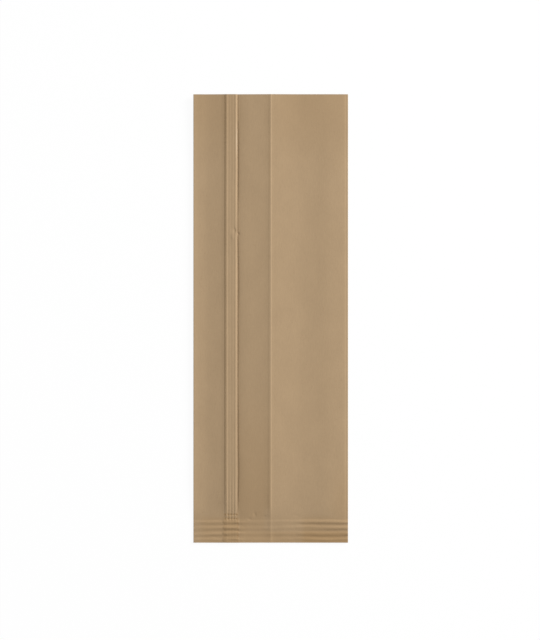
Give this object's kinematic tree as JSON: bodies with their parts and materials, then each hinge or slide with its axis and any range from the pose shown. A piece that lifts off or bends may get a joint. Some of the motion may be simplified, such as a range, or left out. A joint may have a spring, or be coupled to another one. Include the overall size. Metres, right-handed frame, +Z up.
{
  "type": "kraft window bag",
  "caption": "Flat-folded kraft paper bag with side gussets, a ribbed back seam, a ribbed bottom seal and a clear film window in its front.",
  "frame": {"origin": "centre of the flat bag's outline, on the surface it lies on", "axes": "+X across the bag to the right as its back is seen, +Y from the bottom seal to the mouth, +Z up, out of the back with its seam"},
  "size_m": [0.12, 0.348, 0.0031],
  "materials": {
    "kraft_paper": "unbleached brown kraft, film-lined, faint sheen",
    "clear_film": "clear glossy film"
  },
  "bodies": {
    "root": {"kraft_body": "kraft_paper", "window_film": "clear_film"}
  },
  "joints": []
}
